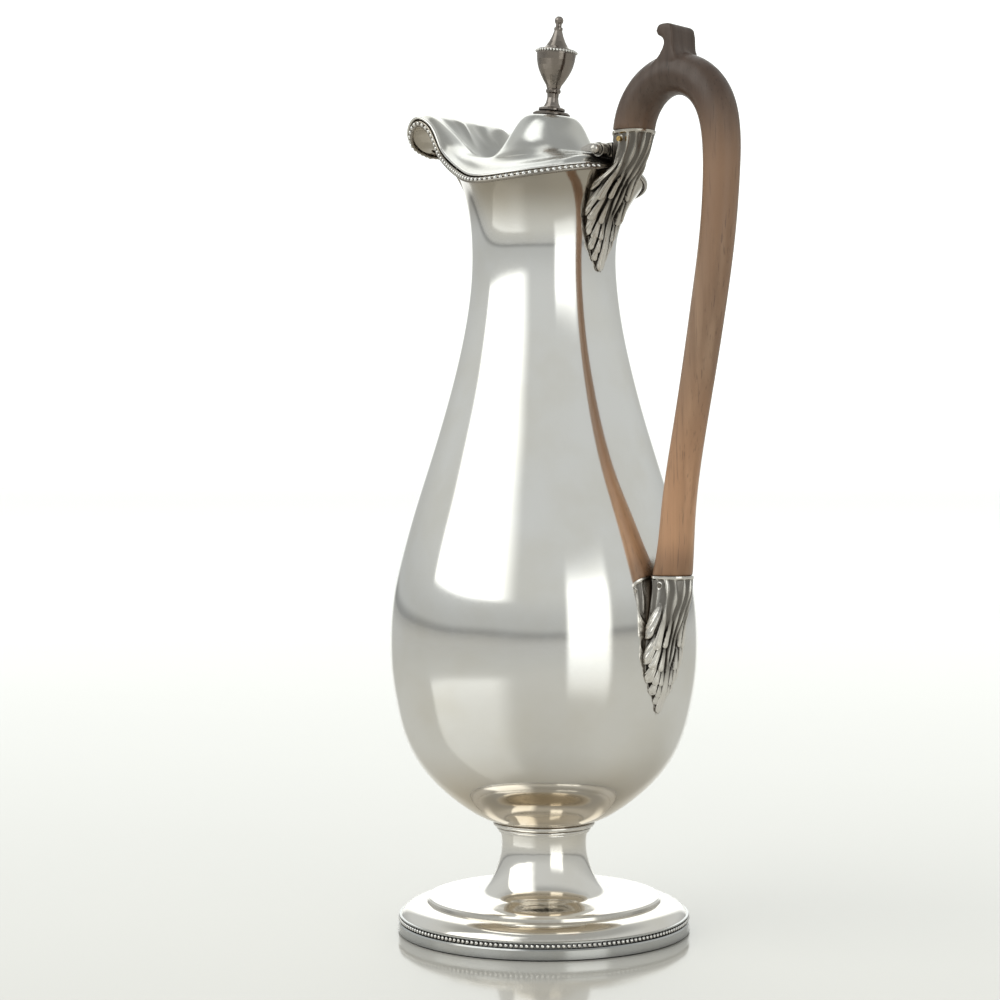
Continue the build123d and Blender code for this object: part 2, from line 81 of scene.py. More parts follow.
# ---- materials ----
class Shader:
    """A principled material with short calls for adding nodes."""

    def __init__(self, name, **values):
        self.material = bpy.data.materials.new(name)
        self.material.use_nodes = True
        self.tree = self.material.node_tree
        self.surface = self.tree.nodes["Principled BSDF"]
        self.place = self.tree.nodes.new("ShaderNodeTexCoord").outputs["Object"]
        self.set(self.surface, values)

    def set(self, made, inputs):
        for socket, value in inputs.items():
            target = made.inputs[socket.replace("_", " ")]
            if isinstance(value, bpy.types.NodeSocket):
                self.tree.links.new(value, target)
            else:
                target.default_value = value

    def node(self, kind, **inputs):
        made = self.tree.nodes.new("ShaderNode" + kind)
        self.set(made, inputs)
        return made

    def noise(self, scale, detail=4.0, stretch=(1, 1, 1)):
        place = self.node("Mapping", Vector=self.place, Scale=stretch).outputs["Vector"]
        return self.node("TexNoise", Vector=place, Scale=scale, Detail=detail).outputs["Fac"]

    def spread(self, value, low, high, start=0.0, end=1.0):
        """Take low..high to start..end with soft ends."""
        made = self.node("MapRange", Value=value)
        made.interpolation_type = "SMOOTHSTEP"
        for slot, number in zip(("From Min", "From Max", "To Min", "To Max"), (low, high, start, end)):
            made.inputs[slot].default_value = number
        return made.outputs["Result"]

    def maths(self, operation, first, second):
        made = self.tree.nodes.new("ShaderNodeMath")
        made.operation = operation
        self.tree.links.new(first, made.inputs[0])
        self.tree.links.new(second, made.inputs[1])
        return made.outputs[0]

    def mix(self, factor, first, second, blend="MIX"):
        made = self.tree.nodes.new("ShaderNodeMix")
        made.data_type = "RGBA"
        made.blend_type = blend
        for slot, value in zip((0, 6, 7), (factor, first, second)):
            if isinstance(value, bpy.types.NodeSocket):
                self.tree.links.new(value, made.inputs[slot])
            else:
                made.inputs[slot].default_value = (*value, 1)
        return made.outputs[2]

    def height_tints(self, colour, tints):
        """Multiply a colour by each tint: none of it at its first height, all at its second, in mm."""
        height = self.node("SeparateXYZ", Vector=self.place).outputs["Z"]
        for start, end, tint in tints:
            low, high = sorted((start, end))
            reach = self.spread(height, low * MM, high * MM, float(start > end), float(end > start))
            colour = self.mix(reach, colour, tint, "MULTIPLY")
        return colour


def silver(name, tone, tarnish, roughness, tints=(), carved=False, recess=(0.35, 0.85)):
    """Polished silver with clouds and stains of tarnish, darker recesses and fine rubbing marks.

    A carved piece is also darker where its attribute "hollow" is 1, and finely pitted all over.
    """
    clouded = [c * k for c, k in zip(tone, (0.95, 0.935, 0.90))]
    stained = [c * k for c, k in zip(tone, (0.88, 0.84, 0.78))]
    hollow_share = 0.17          # how clean the bottom of a hollow is
    tarnish_dullness = 0.22      # added to the roughness where nothing is rubbed clean
    s = Shader(name, Metallic=1.0)
    clouds = s.spread(s.noise(38.0, 5.0), 0.35, 0.7)
    stains = s.spread(s.noise(11.0, 6.0), 0.56, 0.72, 0.0, 0.35)
    colour = s.mix(stains, s.mix(clouds, tone, clouded), stained)
    colour = s.height_tints(colour, tints)
    depth = s.node("AmbientOcclusion", Distance=4 * MM)
    depth.samples = 6
    clean = s.spread(depth.outputs["AO"], *recess)
    if carved:
        groove = s.node("Attribute")
        groove.attribute_name = "hollow"
        clean = s.maths("MULTIPLY", s.spread(groove.outputs["Fac"], 0.0, 1.0, 1.0, hollow_share), clean)
        pits = s.node("Bump", Height=s.noise(750.0, 3.0), Distance=0.16 * MM, Strength=0.6)
        s.set(s.surface, {"Normal": pits.outputs["Normal"]})
    marks = s.spread(s.noise(900.0, 3.0), 0.2, 0.8, roughness * 0.8, roughness * 1.25)
    dull = s.maths("ADD", marks, s.spread(clean, 0.0, 1.0, tarnish_dullness, 0.0))
    s.set(s.surface, {"Base Color": s.mix(clean, tarnish, colour), "Roughness": dull})
    return s.material


def wood():
    """Oiled fruitwood, with painted shade at the top of the loop and painted light on its lower part."""
    s = Shader("fruitwood", Coat_Weight=0.12, Coat_Roughness=0.35)
    grain = s.spread(s.noise(330.0, 6.0, (1, 1, 0.05)), 0.3, 0.7)
    pores = s.spread(s.noise(1500.0, 2.0, (1, 1, 0.04)), 0.58, 0.72, 0.0, 0.55)
    broad = s.spread(s.noise(55.0, 3.0, (1, 1, 0.25)), 0.35, 0.65)
    colour = s.mix(grain, (0.285, 0.170, 0.105), (0.430, 0.275, 0.178))
    colour = s.mix(broad, colour, (0.340, 0.200, 0.122))
    colour = s.mix(pores, colour, (0.150, 0.090, 0.060))
    # painted shade: the top of the loop is darkened, where little light comes from the room above
    painted_shade_at_top = 270, 304, (0.26, 0.265, 0.30)
    # painted light: the lower part of the loop is lightened by height
    painted_light_lower_down = 215, 150, (1.75, 1.62, 1.46)
    near_the_lower_socket = 147, 135, (0.62, 0.62, 0.62)
    colour = s.height_tints(colour, [painted_shade_at_top, painted_light_lower_down, near_the_lower_socket])
    s.set(s.surface, {"Base Color": colour, "Roughness": s.spread(grain, 0.0, 1.0, 0.46, 0.36)})
    bump = s.node("Bump", Height=grain, Distance=0.05 * MM, Strength=0.35)
    s.set(s.surface, {"Normal": bump.outputs["Normal"]})
    return s.material


def brass():
    s = Shader("pin_brass", Metallic=1.0, Roughness=0.3)
    wear = s.spread(s.noise(700.0, 3.0), 0.3, 0.7)
    s.set(s.surface, {"Base Color": s.mix(wear, (0.40, 0.24, 0.07), (0.80, 0.58, 0.24))})
    return s.material


# each tint: the height where it begins, the height where it is full, and the colour to multiply by
tone, shadow = (0.90, 0.89, 0.87), (0.30, 0.25, 0.19)
# painted shade: the flaring neck under the lip is darkened by height
painted_shade_under_the_lip = 255, 271, (0.54, 0.50, 0.445)
# painted reflection: the bowl near the foot is darkened and warmed as if it mirrored the shadowed table
painted_reflection_near_the_foot = 72, 46, (0.72, 0.64, 0.53)
bright = silver("silver", tone, shadow, 0.08)
# the body's silver, with painted shade under the lip and a painted reflection near the foot
raised = silver("raised_silver", tone, shadow, 0.08, [painted_shade_under_the_lip, painted_reflection_near_the_foot])
lid = silver("lid_silver", (0.74, 0.735, 0.71), (0.20, 0.17, 0.14), 0.21)
hinge_look = silver("hinge_silver", (0.62, 0.59, 0.55), (0.10, 0.085, 0.07), 0.16)
foot_look = silver("foot_silver", (0.91, 0.885, 0.845), shadow, 0.08)
rim_look = silver("rim_silver", (0.60, 0.61, 0.61), (0.10, 0.10, 0.10), 0.14)
# painted shade: the finial's dark tone stands in for the dim room above it
finial_painted_shade = silver("finial_painted_shade_silver", (0.31, 0.275, 0.25), (0.08, 0.066, 0.055), 0.17)
beaded = silver("beaded_silver", tone, (0.06, 0.05, 0.042), 0.12, recess=(0.45, 0.95))
strip = silver("strip_silver", (0.34, 0.31, 0.275), (0.05, 0.042, 0.035), 0.2)
# painted shade: the cast silver is darkened towards the top of the upper socket, under the lip
painted_shade_on_upper_socket = 235, 262, (0.72, 0.70, 0.67)
cast_tone, cast_shadow = (0.88, 0.855, 0.82), (0.095, 0.084, 0.072)
cast = silver("cast_silver", cast_tone, cast_shadow, 0.12, [painted_shade_on_upper_socket], carved=True)
looks = {
    "silver": bright,
    "beaded_silver": beaded,
    "cast_silver": cast,
    "fruitwood": wood(),
    "pin_brass": brass(),
}
special_looks = {
    finial_painted_shade: ["finial_plinth", "finial_stem", "finial_urn", "finial_cap"],
    hinge_look: ["fixed_knuckle", "cover_hinge", "hinge_pin"],
    lid: ["cover", "cover_bezel"],
    # on the lower handle pin this dark tone is painted shade, so that the pin reads as a dark hole
    strip: ["mouth_border", "lower_handle_pin"],
    foot_look: ["foot_pedestal", "foot_collar"],
    rim_look: ["foot_rim"],
}


def give_looks():
    chosen = {part["node"]: looks[part["material_slot"]] for part in frame["record"]["subparts"]}
    for look, names in special_looks.items():
        chosen.update(dict.fromkeys(names, look))
    for name, look in chosen.items():
        mesh = nodes[name].data
        mesh.materials.clear()
        mesh.materials.append(look)


give_looks()


# ---- shapes as numbers: the same outlines as the CAD model, in millimetres ----
wall, cover_wall, moving_gap, cove_depth = 1.0, 0.9, 0.5, 0.2
hinge_x, hinge_z, knuckle_radius, pin_reach = 35.0, 283.6, 2.6, 13.55
knuckle_room = knuckle_radius + 0.5     # half of the square notch in which the knuckles sit
leaf_room = 0.3                         # beyond the pin's axis, where the open cover's leaf stands
finial_tilt = math.radians(6.5)
dome_base = np.array([1.7, 0.0, 283.0])
dome_height = 17.3
neck_steps = 6
pear_outline = [
    (19.0, 40.2), (23.8, 42.3), (32.4, 47.9), (39.4, 53.9), (44.8, 60.0), (50.0, 68.7), (54.4, 83.5),
    (56.3, 95.3), (56.8, 107.2), (55.9, 122.0), (53.0, 136.8), (48.2, 154.5), (42.6, 172.3),
    (36.4, 193.0), (31.8, 210.8), (28.5, 228.0), (27.1, 241.0), (26.9, 248.0),
]
dome_outline = [
    (21.0, 1.6), (17.4, 5.1), (14.7, 9.5), (12.4, 13.6), (10.9, 15.6), (9.2, 16.9), (7.4, 17.3),
]
hand_waves = [(23, 9, 14), (-11, 27, 17), (31, -19, 8), (13, 17, -29), (-37, 5, 21)]     # per metre
# Half of the mouth from the hinge round to the lip. Each station: azimuth on the neck, azimuth on the
# dome and slope of the lip in degrees, then the mouth's edge and the cover's crest, shelf and valley.
stations = [
    (0.0, 0.0, 55, (36.8, 0, 277.8), (33.0, 0, 282.0),
     (29.5, 0, 283.0), (25.5, 0, 284.2)),
    (21.0, 22.0, 52, (34.4, 13.5, 277.2), (30.8, 13.0, 281.3),
     (27.5, 11.5, 282.4), (23.8, 9.8, 283.8)),
    (43.0, 44.0, 48, (27.0, 26.0, 275.2), (23.0, 22.5, 279.3),
     (20.0, 19.5, 280.8), (18.2, 17.0, 282.8)),
    (66.0, 67.0, 42, (14.0, 35.0, 273.3), (11.0, 28.5, 278.2),
     (9.5, 24.5, 280.4), (9.0, 21.8, 282.6)),
    (88.0, 90.0, 38, (0.0, 37.2, 273.2), (-1.0, 28.3, 279.6),
     (-1.5, 24.6, 281.3), (-1.0, 22.3, 283.0)),
    (106.0, 110.0, 35, (-12.5, 32.6, 277.0), (-12.5, 25.2, 283.2),
     (-11.8, 21.8, 284.0), (-9.6, 20.2, 284.0)),
    (121.0, 127.0, 28, (-23.5, 27.4, 282.2), (-22.5, 22.2, 286.6),
     (-21.2, 18.0, 286.9), (-17.0, 16.4, 285.6)),
    (133.0, 140.0, 22, (-32.0, 24.1, 288.8), (-30.5, 20.2, 291.9),
     (-29.3, 15.2, 291.6), (-22.6, 13.6, 287.2)),
    (142.5, 149.0, 12, (-38.0, 23.0, 297.0), (-37.5, 20.0, 300.1),
     (-36.6, 13.8, 298.6), (-26.6, 11.6, 288.8)),
    (150.5, 156.0, -2, (-43.5, 23.4, 300.0), (-42.5, 20.5, 303.2),
     (-41.6, 12.6, 302.1), (-29.4, 9.8, 289.8)),
    (158.0, 162.0, -20, (-48.5, 22.0, 297.0), (-46.0, 18.0, 303.4),
     (-44.0, 10.6, 303.4), (-31.2, 7.8, 290.3)),
    (165.5, 168.0, -36, (-51.3, 16.5, 291.8), (-48.3, 13.2, 304.2),
     (-45.2, 7.8, 304.2), (-32.4, 5.4, 290.4)),
    (172.8, 174.0, -41, (-51.9, 8.4, 290.0), (-48.9, 6.8, 305.1),
     (-46.0, 4.2, 304.8), (-33.0, 2.8, 290.3)),
    (180.0, 180.0, -42, (-51.9, 0, 290.2), (-49.0, 0, 305.4),
     (-46.2, 0, 305.0), (-33.2, 0, 290.2)),
]
last = len(stations) - 1
ring_count = 2 * last        # stations all the way round, the middle ones counted once
mirror = np.array([1.0, -1.0, 1.0])


def unit(vectors):
    return vectors / np.maximum(np.linalg.norm(vectors, axis=-1, keepdims=True), 1e-12)


def smooth_line(points, count):
    """A natural cubic spline through the points, by chord length, sampled evenly."""
    points = np.asarray(points, float)
    knots = np.concatenate([[0], np.cumsum(np.linalg.norm(np.diff(points, axis=0), axis=1))])
    step = np.diff(knots)
    n = len(points)
    system, right = np.eye(n), np.zeros_like(points)
    for k in range(1, n - 1):
        system[k, k - 1:k + 2] = step[k - 1], 2 * (step[k - 1] + step[k]), step[k]
        rise_after = (points[k + 1] - points[k]) / step[k]
        right[k] = 6 * (rise_after - (points[k] - points[k - 1]) / step[k - 1])
    bend = np.linalg.solve(system, right)
    at = np.linspace(0, knots[-1], count)
    k = np.clip(np.searchsorted(knots, at, side="right") - 1, 0, n - 2)
    a, b, h = (knots[k + 1] - at)[:, None], (at - knots[k])[:, None], step[k][:, None]
    straight = (points[k] / h - bend[k] * h / 6) * a + (points[k + 1] / h - bend[k + 1] * h / 6) * b
    return straight + bend[k] * a**3 / (6 * h) + bend[k + 1] * b**3 / (6 * h)


def smooth_ring(rows, steps):
    """A closed cubic spline round the ring through evenly spaced rows of points."""
    n = len(rows)
    system = 4 * np.eye(n) + np.roll(np.eye(n), 1, axis=0) + np.roll(np.eye(n), -1, axis=0)
    after = np.roll(rows, -1, axis=0)
    right = 6 * (np.roll(rows, 1, axis=0) - 2 * rows + after)
    bend = np.linalg.solve(system, right.reshape(n, -1)).reshape(rows.shape)
    bend_after = np.roll(bend, -1, axis=0)
    out = []
    for t in np.arange(steps) / steps:
        s = 1 - t
        out.append(rows * s + after * t + bend * (s**3 - s) / 6 + bend_after * (t**3 - t) / 6)
    return np.stack(out, axis=1).reshape(n * steps, *rows.shape[1:])


def round_the_mouth(half):
    """Both halves of something given for each station of one half."""
    half = np.asarray(half, float)
    return np.concatenate([half, half[-2:0:-1] * mirror])


edges = np.array([s[3] for s in stations], float)
before = np.concatenate([edges[1:2] * mirror, edges[:-1]])
after = np.concatenate([edges[1:], edges[-2:-1] * mirror])
run_along = after - before
slopes = np.radians([s[2] for s in stations])[:, None]
outward = unit(np.stack([run_along[:, 1], -run_along[:, 0], np.zeros(last + 1)], axis=1))
lip_direction = outward * np.cos(slopes) + np.array([0, 0, 1.0]) * np.sin(slopes)
lip_upward = unit(np.cross(lip_direction, run_along))


def body_meridian(i):
    """Up the outside of the body at a station, from its base to the mouth's edge."""
    azimuth = math.radians(stations[i][0])
    points = [np.array([r * math.cos(azimuth), r * math.sin(azimuth), z]) for r, z in pear_outline]
    neck, edge = points[-1], edges[i]
    rise = edge[2] - neck[2]
    pulls = neck, neck + [0, 0, 0.46 * rise], edge - lip_direction[i] * 0.27 * rise, edge
    for k in range(1, neck_steps + 1):
        t = k / neck_steps
        weights = (1 - t)**3, 3 * (1 - t)**2 * t, 3 * (1 - t) * t * t, t**3
        points.append(sum(w * p for w, p in zip(weights, pulls)))
    return points


def on_dome(radius, height, azimuth):
    """A point on the dome, whose rings lean more and more up to its flat top."""
    lean = finial_tilt * height / dome_height
    across = radius * math.cos(math.radians(azimuth))
    return dome_base + [
        height * math.sin(finial_tilt) + across * math.cos(lean),
        radius * math.sin(math.radians(azimuth)),
        height * math.cos(finial_tilt) - across * math.sin(lean),
    ]


cover_edges = edges + lip_upward * (wall + moving_gap + cover_wall)


def cover_meridian(i):
    """Over the top of the cover at a station, from its edge in to the flat on top of the dome."""
    crest, shelf, valley = (np.array(p, float) for p in stations[i][4:7])
    cove = cover_edges[i] * 0.5 + crest * 0.5 - lip_upward[i] * cove_depth
    dome = [on_dome(r, h, stations[i][1]) for r, h in dome_outline]
    return [cover_edges[i], cove, crest, shelf, valley] + dome


# ---- meshes ----
def add_mesh(name, points, faces, material, body, replaces=(), values=None, sharp=40):
    """A smooth-shaded mesh piece from points in millimetres; values are numbers kept at its points."""
    mesh = bpy.data.meshes.new(name)
    mesh.from_pydata((np.asarray(points) * MM).tolist(), [], faces)
    tidy = bmesh.new()
    tidy.from_mesh(mesh)
    bmesh.ops.recalc_face_normals(tidy, faces=tidy.faces)
    tidy.to_mesh(mesh)
    tidy.free()
    for attribute, data in (values or {}).items():
        mesh.attributes.new(attribute, "FLOAT", "POINT").data.foreach_set("value", np.ravel(data))
    mesh.materials.append(material)
    mesh.shade_smooth()
    mesh.set_sharp_from_angle(angle=math.radians(sharp))
    piece = bpy.data.objects.new(name, mesh)
    bpy.context.scene.collection.objects.link(piece)
    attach(piece, body)
    if replaces:
        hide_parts(*replaces)
    return piece


def grid_faces(nu, nv):
    """Quads of a grid of nu by nv points, closed in u."""
    faces = []
    for i in range(nu):
        here, there = i * nv, (i + 1) % nu * nv
        faces += [(here + j, there + j, there + j + 1, here + j + 1) for j in range(nv - 1)]
    return faces


def shell_points(meridians, thickness, steps, samples, ripple):
    """Points of a sheet's outside, faintly uneven inwards from its true outline, and of its inside."""
    rows = round_the_mouth([smooth_line(m, samples) for m in meridians])
    grid = smooth_ring(rows, steps)
    along = np.roll(grid, -1, axis=0) - np.roll(grid, 1, axis=0)
    up = np.gradient(grid, axis=1)
    normal = unit(np.cross(along, up))
    waves = [np.sin(grid * MM @ np.array(wave) * 2 * math.pi + k) for k, wave in enumerate(hand_waves)]
    grid = grid + normal * ((sum(waves) / len(waves) - 1) * ripple)[..., None]
    return grid, grid - normal * thickness


def sheet_skin(grid, inner, rim_steps=5):
    """Outside, rounded lip and inside of a sheet as one run; the lip is at the last column."""
    outer_edge, inner_edge = grid[:, -1], inner[:, -1]
    middle, half = (outer_edge + inner_edge) / 2, (outer_edge - inner_edge) / 2
    out = unit(grid[:, -1] - grid[:, -2]) * np.linalg.norm(half, axis=1, keepdims=True)
    turn = np.linspace(0, math.pi, rim_steps + 2)[1:-1]
    rim = np.stack([middle + half * math.cos(a) + out * math.sin(a) for a in turn], axis=1)
    return np.concatenate([grid, rim, inner[:, ::-1]], axis=1)


def closed_at_ends(points, first, final):
    """Quads of the run of rows, with a fan to one point at each end."""
    nu, nv = points.shape[:2]
    flat = np.concatenate([points.reshape(-1, 3), [first, final]])
    faces = grid_faces(nu, nv)
    for i in range(nu):
        there = (i + 1) % nu * nv
        faces.append((i * nv, there, nu * nv))
        faces.append((i * nv + nv - 1, nu * nv + 1, there + nv - 1))
    return flat, faces


def cut_away(piece, *cutters):
    """Take the cutters' volumes out of a piece, and discard the cutters."""
    for cutter in cutters:
        knife = piece.modifiers.new("cut", "BOOLEAN")
        knife.object = cutter
        knife.solver = "EXACT"
    shape = piece.evaluated_get(bpy.context.evaluated_depsgraph_get())
    piece_mesh = bpy.data.meshes.new_from_object(shape)
    piece.modifiers.clear()
    piece.data = piece_mesh
    for cutter in cutters:
        bpy.data.objects.remove(cutter)


def cutting_box(centre, size):
    bpy.ops.mesh.primitive_cube_add(size=1, location=np.array(centre) * MM, scale=np.array(size) * MM)
    return bpy.context.object


def cutting_rod(centre, radius, length):
    """A rod that lies along Y."""
    bpy.ops.mesh.primitive_cylinder_add(
        vertices=64,
        radius=radius * MM,
        depth=length * MM,
        location=np.array(centre) * MM,
        rotation=(math.pi / 2, 0, 0),
    )
    return bpy.context.object


# ---- body ----
def make_body():
    grid, inner = shell_points([body_meridian(i) for i in range(last + 1)], wall, steps=14, samples=240,
                               ripple=0.05)
    skin = sheet_skin(grid, inner)
    base = grid[:, 0].mean(axis=0)
    points, faces = closed_at_ends(skin, base, base + [0, 0, wall])
    add_mesh("body_sheet", points, faces, raised, "jug", ["body"])


# ---- cover ----
def make_cover():
    grid, inner = shell_points([cover_meridian(i) for i in range(last + 1)], cover_wall, steps=14,
                               samples=150, ripple=0.03)
    skin = sheet_skin(grid[:, ::-1], inner[:, ::-1])
    top = grid[:, -1].mean(axis=0)
    points, faces = closed_at_ends(skin, top, top - [0, 0, cover_wall])
    piece = add_mesh("cover_sheet", points, faces, lid, "cover", ["cover"])
    behind_the_pin = cutting_box((hinge_x + 9.6, 0, hinge_z), (20, 60, 40))
    round_the_knuckles = cutting_rod((hinge_x, 0, hinge_z), knuckle_room, 2 * (pin_reach + 0.6))
    cut_away(piece, behind_the_pin, round_the_knuckles)
    piece.data.set_sharp_from_angle(angle=math.radians(40))


# ---- cast sockets: a tube of ellipses carved into long ridges and overlapping leaf lobes ----
# each ellipse: its centre's x and z, then its half-width along X and across
upper_sections = [
    (43.8, 289.8, 7.8, 7.8), (42.7, 284.0, 7.1, 7.3), (41.0, 278.0, 5.0, 7.8), (35.0, 272.0, 5.8, 9.7),
    (31.8, 266.0, 5.2, 9.7), (29.6, 260.0, 3.9, 8.8), (28.1, 253.5, 3.2, 6.6), (27.3, 247.0, 2.6, 4.4),
    (27.3, 240.8, 1.9, 1.5),
]
lower_sections = [
    (61.4, 132.5, 7.5, 7.5), (61.1, 126.5, 7.4, 7.6), (59.7, 119.0, 6.0, 8.6), (58.0, 110.0, 4.4, 9.4),
    (56.6, 100.0, 3.4, 9.0), (55.1, 92.0, 3.0, 6.0), (53.4, 83.3, 3.2, 1.6),
]
# One side of the leaf. Each lobe or ridge: where it starts, in millimetres down and as a share of the way
# from the midrib round to the body, where it ends in the same terms, its half-width and its height.
lobes = [
    (10.0, 0.62, 21.5, 0.97, 3.1, 1.30), (12.0, 0.44, 25.0, 0.58, 1.75, 1.15),
    (14.0, 0.24, 24.5, 0.31, 1.2, 0.95), (20.5, 0.64, 30.0, 0.98, 2.6, 1.30),
    (22.5, 0.46, 31.5, 0.70, 1.6, 1.15), (24.0, 0.28, 32.5, 0.38, 1.3, 1.00),
    (28.5, 0.58, 36.2, 0.96, 2.1, 1.20), (30.0, 0.40, 37.2, 0.62, 1.4, 1.05),
    (31.0, 0.24, 37.6, 0.32, 1.1, 0.90), (34.5, 0.52, 40.6, 0.92, 1.6, 1.05),
    (35.5, 0.30, 41.6, 0.50, 1.2, 0.90), (38.0, 0.34, 44.0, 0.80, 1.2, 0.85),
]
tongue = (30.0, 0.0, 47.1, 0.0, 2.1, 1.30)
leaf_length = 47.5           # how far down the measures above reach
plain_rim = 0.7, 1.5         # the rim under the wood is plain down to the first and carved by the second
pin_down, pin_room = 3.2, 1.0        # the handle's pin below the rim, and the flat round it
groove_depth = 1.3           # the deepest groove between lobes
ground_depth = 0.62          # how far the leaf's ground lies under its highest parts
boss_depth = 0.45
edge_height = 0.4            # a low edge along the body
ridges = [
    (0.4, 0.09, 40.0, 0.07, 0.55, 1.00), (0.4, 0.27, 22.0, 0.24, 0.80, 0.85),
    (0.4, 0.44, 20.0, 0.46, 0.70, 1.00), (0.4, 0.62, 15.0, 0.70, 0.85, 0.75),
    (0.4, 0.82, 12.0, 0.92, 0.80, 0.70),
]


def along_line(down, share, reach, start, start_share, end, end_share):
    """How far along a curved line each point lies, 0 to 1, and its distances across and past it."""
    t = np.clip((down - start) / (end - start), 0, 1)
    line = start_share + (end_share - start_share) * t**1.6
    slope = (end_share - start_share) * reach * 1.6 * t**0.6 / (end - start)
    across = (share - line) * reach / np.sqrt(1 + slope**2)
    return t, across, down - (start + (end - start) * t)


def smooth_step(value, low, high):
    t = np.clip((value - low) / (high - low), 0, 1)
    return t * t * (3 - 2 * t)


def lobe_height(down, share, reach, lobe):
    """A leaf's lobe: narrow at its root, spooned and fluted, with a raised edge and a round tip."""
    start, start_share, end, end_share, half_width, height = lobe
    t, across, past = along_line(down, share, reach, start, start_share, end - half_width, end_share)
    width = half_width * (0.45 + 0.55 * t)
    away = np.hypot(across, past) / width
    inside = np.sqrt(np.clip(1 - away**2, 0, None))
    edge = np.exp(-((away - 0.80) / 0.14)**2)
    flutes = 0.5 - 0.5 * np.cos(across * 2 * math.pi / np.maximum(width * 0.7, 0.8))
    shape = 0.74 * inside + 0.26 * edge + 0.16 * flutes * inside * (1 - edge)
    return height * (0.16 + 0.92 * t) * shape


def ridge_height(down, share, reach, ridge):
    """A raised line that fades out at its lower end."""
    start, start_share, end, end_share, half_width, height = ridge
    t, across, past = along_line(down, share, reach, start, start_share, end, end_share)
    wander = 0.22 * np.sin(down * 0.5 + start_share * 40) * t
    uneven = 0.78 + 0.22 * np.sin(down * 0.55 + start_share * 57)
    swell = np.exp(-(np.hypot(across + wander, past) / half_width / uneven)**2)
    return height * 0.72 * swell * uneven * (1 - 0.3 * t)


side_outline = smooth_line(body_meridian(0), 400)


def wall_radius(height):
    """The body's outside radius on the handle's side."""
    return np.interp(height, side_outline[:, 2], side_outline[:, 0])


def side_at(base, down, level):
    """How far round from the midrib the handle's pin comes out, at a level."""
    row = base[:, np.searchsorted(down, level)]
    start = len(row) // 2
    quarter = row[start:start + len(row) // 4 + 1]
    return np.linalg.norm(np.diff(quarter, axis=0), axis=1).sum()


def clear_of_body(points):
    """Move the points that lie inside the body's wall out to just under its surface."""
    distance = np.hypot(points[..., 0], points[..., 1])
    push = np.clip((wall_radius(points[..., 2]) - 0.45) / distance, 1, None)
    points[..., 0] *= push
    points[..., 1] *= push


def clear_of_hinge(points):
    """Leave the knuckles their notch, and the open cover's leaf its place above it."""
    height = points[..., 2]
    above = np.where(height > hinge_z, hinge_x + leaf_room, 0)
    least = np.where(np.abs(height - hinge_z) < knuckle_room, hinge_x + knuckle_room, above)
    points[..., 0] = np.maximum(points[..., 0], least)


def make_socket(name, sections, node):
    line = smooth_line(np.array(sections, float), 420)
    x, z, along, across = line.T
    step = np.hypot(np.diff(x), np.diff(z))
    down = np.concatenate([[0], np.cumsum(step)])
    turn = np.linspace(-math.pi, math.pi, 340, endpoint=False)
    cos, sin = np.cos(turn)[:, None], np.sin(turn)[:, None]
    tucked = 1.5 * smooth_step(down / down[-1], 0.8, 1.0)      # the tip lies against the body
    level = np.broadcast_to(z, (len(turn), len(z)))
    base = np.stack([x - tucked + along * cos, across * sin, level], axis=2)
    arc = np.linalg.norm(np.roll(base, -1, axis=0) - base, axis=2)
    middle = len(turn) // 2
    round_way = np.cumsum(arc, axis=0) - arc
    round_way = round_way - round_way[middle]
    tangent_round = np.roll(base, -1, axis=0) - np.roll(base, 1, axis=0)
    normal = unit(np.cross(tangent_round, np.gradient(base, axis=1)))
    centre = np.stack([x, np.zeros_like(x), z], axis=1)
    normal *= np.sign(((base - centre) * normal).sum(axis=2, keepdims=True) + 1e-9)
    down_grid = np.broadcast_to(down, round_way.shape)
    side = np.abs(round_way)
    touching = np.hypot(base[..., 0], base[..., 1]) < wall_radius(base[..., 2]) + 0.3
    reach = np.where(touching, side, side.max()).min(axis=0)
    reach = np.convolve(np.pad(reach, 12, mode="edge"), np.ones(25) / 25, mode="valid")
    share = side / reach
    scale = down[-1] / leaf_length
    relief = np.zeros(side.shape)
    for made_by, pieces in ((lobe_height, lobes + [tongue]), (ridge_height, ridges)):
        for start, start_share, end, end_share, half_width, height in pieces:
            fitted = start * scale, start_share, end * scale, end_share, half_width, height
            relief = np.maximum(relief, made_by(down_grid, share, reach, fitted))
    relief = np.maximum(relief, edge_height * smooth_step(share, 0.93, 1.03))
    plain = 1 - smooth_step(down_grid, *plain_rim)
    pin = np.hypot(down_grid - pin_down, side - side_at(base, down, pin_down))
    boss = 1 - smooth_step(pin, pin_room, pin_room + 0.4)
    keep = np.clip(1 - plain - boss, 0, 1)
    grooves = smooth_step(down_grid, 8, 26) * (1 - smooth_step(relief, 0.0, 0.25))
    sunk = np.minimum(groove_depth, np.minimum(along, across) * 0.22) * grooves
    height = (relief - ground_depth - sunk) * keep - boss_depth * boss
    points = base + normal * height[..., None]
    clear_of_body(points)
    clear_of_hinge(points)
    hollow = (1 - smooth_step(relief, -0.1, 0.8)) * keep
    points, faces = closed_at_ends(points, points[:, 0].mean(axis=0), points[:, -1].mean(axis=0))
    values = np.concatenate([hollow.ravel(), [0, 0]])
    add_mesh(name, points, faces, cast, "jug", [node], {"hollow": values}, sharp=60)


